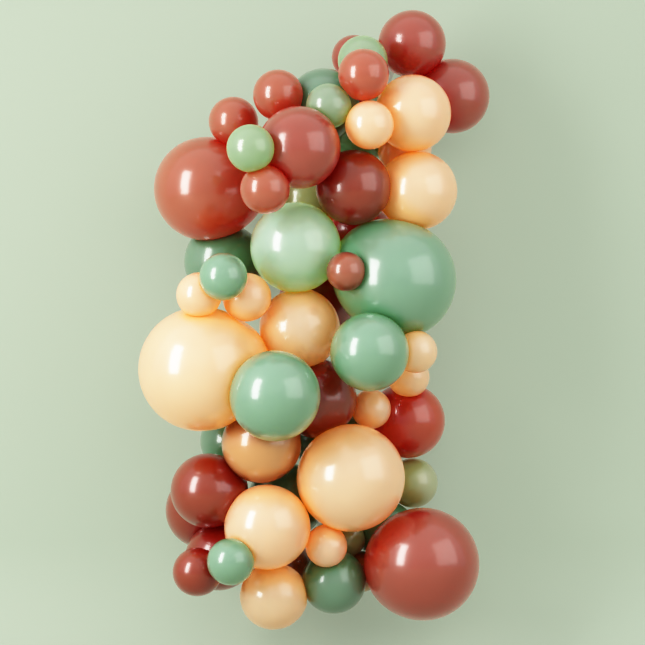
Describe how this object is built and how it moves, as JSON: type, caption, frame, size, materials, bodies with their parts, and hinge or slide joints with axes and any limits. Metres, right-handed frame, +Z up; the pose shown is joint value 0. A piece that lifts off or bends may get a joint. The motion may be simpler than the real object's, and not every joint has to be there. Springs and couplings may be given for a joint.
{
  "type": "balloon garland",
  "caption": "Organic balloon garland: round latex balloons of mixed sizes packed around a perforated decorating strip that hangs or is fixed by its end tabs.",
  "frame": {"origin": "middle of the flat back face of the strip's top tab, where the garland is hung", "axes": "+Z up, -Y the front of the garland, +Y its back, +X to the right seen from the front"},
  "size_m": [0.9209, 0.6216, 1.6371],
  "materials": {
    "terracotta_latex": "glossy slightly translucent latex, terracotta red",
    "brick_latex": "glossy slightly translucent latex, brown brick red",
    "mint_latex": "glossy latex, pale mint green",
    "sage_latex": "glossy latex, dusty sage green",
    "peach_latex": "glossy slightly translucent latex, peach",
    "clear_strip": "clear flexible plastic"
  },
  "bodies": {
    "root": {"decorating_strip": "clear_strip", "small_peach_1": "peach_latex", "small_terracotta_1": "terracotta_latex", "small_sage_1": "sage_latex", "medium_sage_1": "sage_latex", "medium_sage_2": "sage_latex", "medium_sage_3": "sage_latex", "medium_sage_4": "sage_latex", "medium_brick_1": "brick_latex", "medium_terracotta_1": "terracotta_latex", "medium_sage_5": "sage_latex", "medium_sage_6": "sage_latex", "medium_brick_2": "brick_latex", "medium_brick_3": "brick_latex", "medium_brick_4": "brick_latex", "small_peach_2": "peach_latex", "medium_sage_7": "sage_latex", "small_sage_2": "sage_latex", "medium_terracotta_2": "terracotta_latex", "small_peach_3": "peach_latex", "small_peach_4": "peach_latex", "small_peach_5": "peach_latex", "large_terracotta_1": "terracotta_latex", "medium_sage_8": "sage_latex", "medium_brick_5": "brick_latex", "medium_sage_9": "sage_latex", "medium_peach_1": "peach_latex", "medium_brick_6": "brick_latex", "large_terracotta_2": "terracotta_latex", "small_terracotta_2": "terracotta_latex", "small_mint_1": "mint_latex", "medium_peach_2": "peach_latex", "medium_brick_7": "brick_latex", "small_peach_6": "peach_latex", "medium_peach_3": "peach_latex", "medium_peach_4": "peach_latex", "small_terracotta_3": "terracotta_latex", "large_sage_1": "sage_latex", "medium_peach_5": "peach_latex", "medium_peach_6": "peach_latex", "small_brick_1": "brick_latex", "large_peach_1": "peach_latex", "medium_brick_8": "brick_latex", "small_mint_2": "mint_latex", "small_peach_7": "peach_latex", "small_terracotta_4": "terracotta_latex", "small_peach_8": "peach_latex", "large_peach_2": "peach_latex", "medium_terracotta_3": "terracotta_latex", "small_sage_3": "sage_latex", "small_peach_9": "peach_latex", "medium_mint_1": "mint_latex", "medium_sage_10": "sage_latex", "small_peach_10": "peach_latex", "small_brick_2": "brick_latex", "small_terracotta_5": "terracotta_latex", "small_sage_4": "sage_latex", "medium_sage_11": "sage_latex", "small_mint_3": "mint_latex"}
  },
  "joints": []
}
